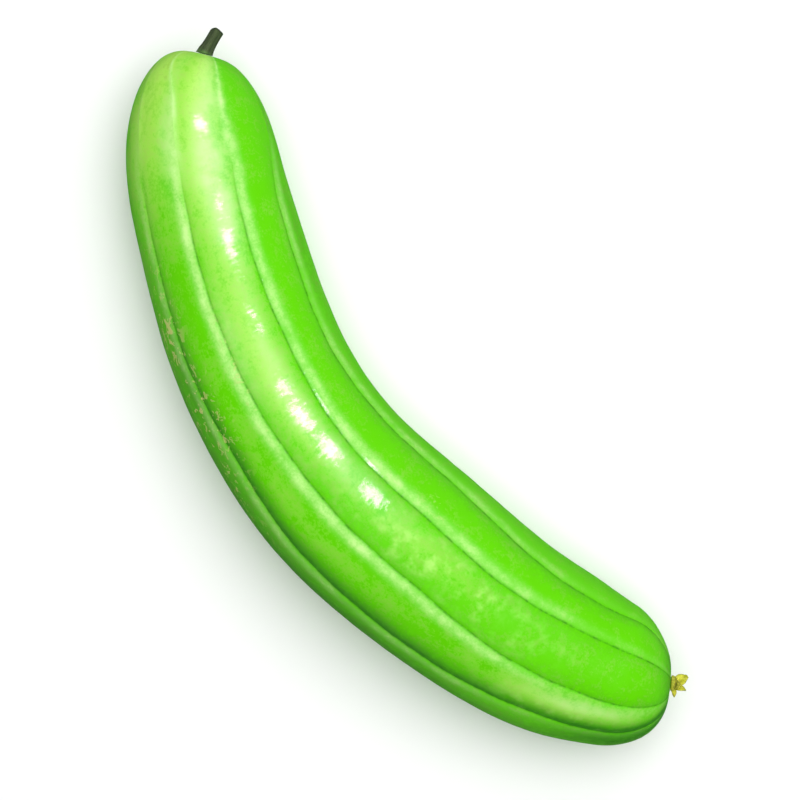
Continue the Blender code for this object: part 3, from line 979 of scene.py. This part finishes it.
flower = {
    "baseRadius": 0.0033,
    "baseHeight": 0.0027,
    "baseProfile": (  # share of the height and share of the radius
        (0.0, 0.90), (0.12, 0.98), (0.3, 1.0), (0.5, 0.94), (0.7, 0.82), (0.85, 0.62), (0.95, 0.38),
    ),
    "baseSides": 60,
    "baseRibs": 10,
    "baseRibHeight": 0.05,
    "shift": 0.0009,               # towards the inner bend
    "rootHeight": 0.0008,
    "cup": 0.22,
    "rootWidth": 0.5,
    "sheetThickness": 0.00035,
    "crumple": 0.0005,
    "raggedness": 0.12,
    "rows": 18,
    "columns": 12,
    "petals": (  # direction (0 is the inner bend's side, 90 is up), lean, length, width, curl and twist
        (5.0, 30.0, 0.0074, 0.0052, 8.0, 72.0),
        (98.0, 50.0, 0.0044, 0.0050, 24.0, 0.0),
        (180.0, 27.0, 0.0066, 0.0040, -12.0, -60.0),
        (180.0, 76.0, 0.0062, 0.0026, 8.0, 65.0),
        (285.0, 30.0, 0.0054, 0.0050, 22.0, 0.0),
    ),
    "petalStart": 0.08,
    "petalSpan": 0.84,
    "petalFullness": 0.9,
    "colours": {"deep": "#B4B614", "pale": "#DAD83E", "brown": "#4A460C"},
    "seed": 5,
}


def petalMaterial():
    # withered petals: papery, dull olive yellow, browned at their tips and in their folds
    material, tree, shader = newMaterial("witheredPetal")
    colours = {name: linearColour(value) for name, value in flower["colours"].items()}
    where = addNode(tree, "ShaderNodeTexCoord", out="Object")
    brown = meshValue(tree, "brown")
    patches = noiseTexture(tree, where, 520.0, 4.0, 0.6)
    veins = noiseTexture(tree, where, 1900.0, 3.0)
    pale = mapRange(tree, patches, 0.4, 0.6, 0.0, 1.0)
    colour = mixColours(tree, pale, colours["deep"], colours["pale"])
    spots = mapRange(tree, veins, 0.54, 0.68, 0.0, 0.55)
    spots = calculate(tree, "ADD", spots, brown, clamp=True)
    colour = mixColours(tree, spots, colour, colours["brown"])
    tree.links.new(colour, shader.inputs["Base Color"])
    shader.inputs["Roughness"].default_value = 0.8
    tree.links.new(bumpMap(tree, veins, 0.5, 0.0001), shader.inputs["Normal"])
    return material


def petalSheet(sheet, brown, root, forward, left, up, petal, draw):
    # adds one petal's grid of points and faces, and how brown each point is
    direction, lean, length, width, curl, twist = petal
    turn = math.radians(direction)
    outside = math.cos(turn) * left + math.sin(turn) * up
    slope = math.radians(lean)
    spine = forward * math.cos(slope) + outside * math.sin(slope)
    twisted = Matrix.Rotation(math.radians(twist), 3, spine)
    across = twisted @ forward.cross(outside)
    offSpine = twisted @ (outside * math.cos(slope) - forward * math.sin(slope))
    shift = Vector(draw.uniform(0, 50, 3))
    grid = []
    for row in range(flower["rows"] + 1):
        share = row / flower["rows"]
        bend = math.radians(curl * (2 * share - 1))
        centre = root + spine * (length * share) + offSpine * (math.tan(bend) * length * (share - 0.5))
        facing = offSpine * math.cos(bend) - spine * math.sin(bend)
        leafShare = flower["petalStart"] + flower["petalSpan"] * share
        leaf = math.sin(math.pi * leafShare ** flower["petalFullness"])
        line = []
        for column in range(flower["columns"] + 1):
            across1 = 2 * column / flower["columns"] - 1
            ragged = 1 + flower["raggedness"] * noise.noise(Vector((6 * share, 2 * across1, 0)) + shift)
            half = width / 2 * max(leaf, flower["rootWidth"] * (1 - share)) * ragged
            point = centre + across * (across1 * half) - facing * (flower["cup"] * half * (1 - across1**2))
            fold = noise.noise(Vector((3.0 * share, 2.4 * across1, 1.0)) + shift)
            point += facing * (flower["crumple"] * 2 * fold * share)
            point += facing * (flower["crumple"] * noise.noise(point * 1500 + shift) * share)
            line.append(sheet.verts.new(point))
            edge = max(abs(across1) ** 4, share**6)
            line[-1][brown] = min(1.0, 0.35 * edge + max(0.0, -0.7 * fold - 0.05))
        grid.append(line)
    for low, high in zip(grid, grid[1:]):
        for side in range(flower["columns"]):
            sheet.faces.new((low[side], low[side + 1], high[side + 1], high[side]))


def makeFlower():
    path, _ = smoothPath(fruit["sections"])
    end, forward, left, up = frameAt(path, 1.0)
    base = end + forward * (stalk["gap"] - fruit["flowerHollow"][0]) + left * flower["shift"]
    draw = np.random.default_rng(flower["seed"])
    sheet = bmesh.new()
    brown = sheet.verts.layers.float.new("brown")
    for petal in flower["petals"]:
        petalSheet(sheet, brown, base + forward * flower["rootHeight"], forward, left, up, petal, draw)
    mesh = bpy.data.meshes.new("petals")
    sheet.to_mesh(mesh)
    sheet.free()
    petals = newObject("petals", mesh)
    thick = petals.modifiers.new("thickness", "SOLIDIFY")
    thick.thickness = flower["sheetThickness"]
    thick.offset = 0
    smooth = petals.modifiers.new("smooth", "SUBSURF")
    smooth.levels = 1
    smooth.render_levels = 1
    bpy.context.view_layer.update()
    sheets = bpy.data.meshes.new_from_object(petals.evaluated_get(bpy.context.evaluated_depsgraph_get()))
    bpy.data.objects.remove(petals)

    rings = []
    browns = []
    for height, width in flower["baseProfile"]:
        ring = []
        for side in range(flower["baseSides"]):
            angle = 2 * math.pi * side / flower["baseSides"]
            rib = 1 + flower["baseRibHeight"] * math.cos(flower["baseRibs"] * angle)
            reach = flower["baseRadius"] * width * rib
            spot = base + forward * (flower["baseHeight"] * height)
            ring.append(spot + reach * (math.cos(angle) * left + math.sin(angle) * up))
        rings.append(ring)
        browns.append([0.05 + 0.65 * height] * flower["baseSides"])
    core = ringSkin("flowerBase", rings, (base, base + forward * flower["baseHeight"]), {"brown": browns})
    whole = bmesh.new()
    whole.from_mesh(core)
    whole.from_mesh(sheets)
    for face in whole.faces:
        face.smooth = True
    joined = bpy.data.meshes.new("witheredFlower")
    whole.to_mesh(joined)
    whole.free()
    joined.materials.append(petalMaterial())
    place(newObject("witheredFlower", joined), "withered_flower", "dried_petals")


# Stage: a pale floor and soft lights

def makeStage():
    bpy.ops.mesh.primitive_plane_add(size=6, location=(0, 0, -0.0002))
    floor = bpy.context.object
    floor.name = "floor"
    paint, _, shader = newMaterial("matWhiteFloor")
    shader.inputs["Base Color"].default_value = linearColour("#F8F8F8")
    shader.inputs["Roughness"].default_value = 1.0
    floor.data.materials.append(paint)
    floor.visible_glossy = False


# place, size, power in watts, and whether it lights the scene or only shows as a reflection
lights = {
    "softKey": ((-0.06, 0.38, 1.5), (1.6, 1.6), 28.0, True),
    "softFill": ((0.10, -0.10, 1.8), (2.0, 2.0), 9.0, True),
    "softbox": ((-0.24, 0.43, 1.3), (0.36, 0.66), 17.0, False),
    "glint": ((-0.66, 0.46, 1.3), (0.30, 0.30), 9.0, False),
}


def makeLights():
    for name, (where, size, power, lightsScene) in lights.items():
        data = bpy.data.lights.new(name, "AREA")
        data.shape = "RECTANGLE"
        data.size, data.size_y = size
        data.energy = power
        lamp = newObject(name, data)
        lamp.location = where
        lamp.rotation_euler = (-Vector(where)).to_track_quat("-Z", "Y").to_euler()
        lamp.visible_diffuse = lightsScene
        lamp.visible_glossy = not lightsScene
    world = bpy.data.worlds.new("paleStudio")
    world.use_nodes = True
    background = world.node_tree.nodes["Background"]
    background.inputs["Color"].default_value = linearColour("#FFFFFF")
    background.inputs["Strength"].default_value = 0.12
    bpy.context.scene.world = world


makeCamera()
makeFruit()
makeStalk()
makeFlower()
makeStage()
makeLights()
bpy.context.scene.view_settings.view_transform = "Standard"
print("stage and lights ready")
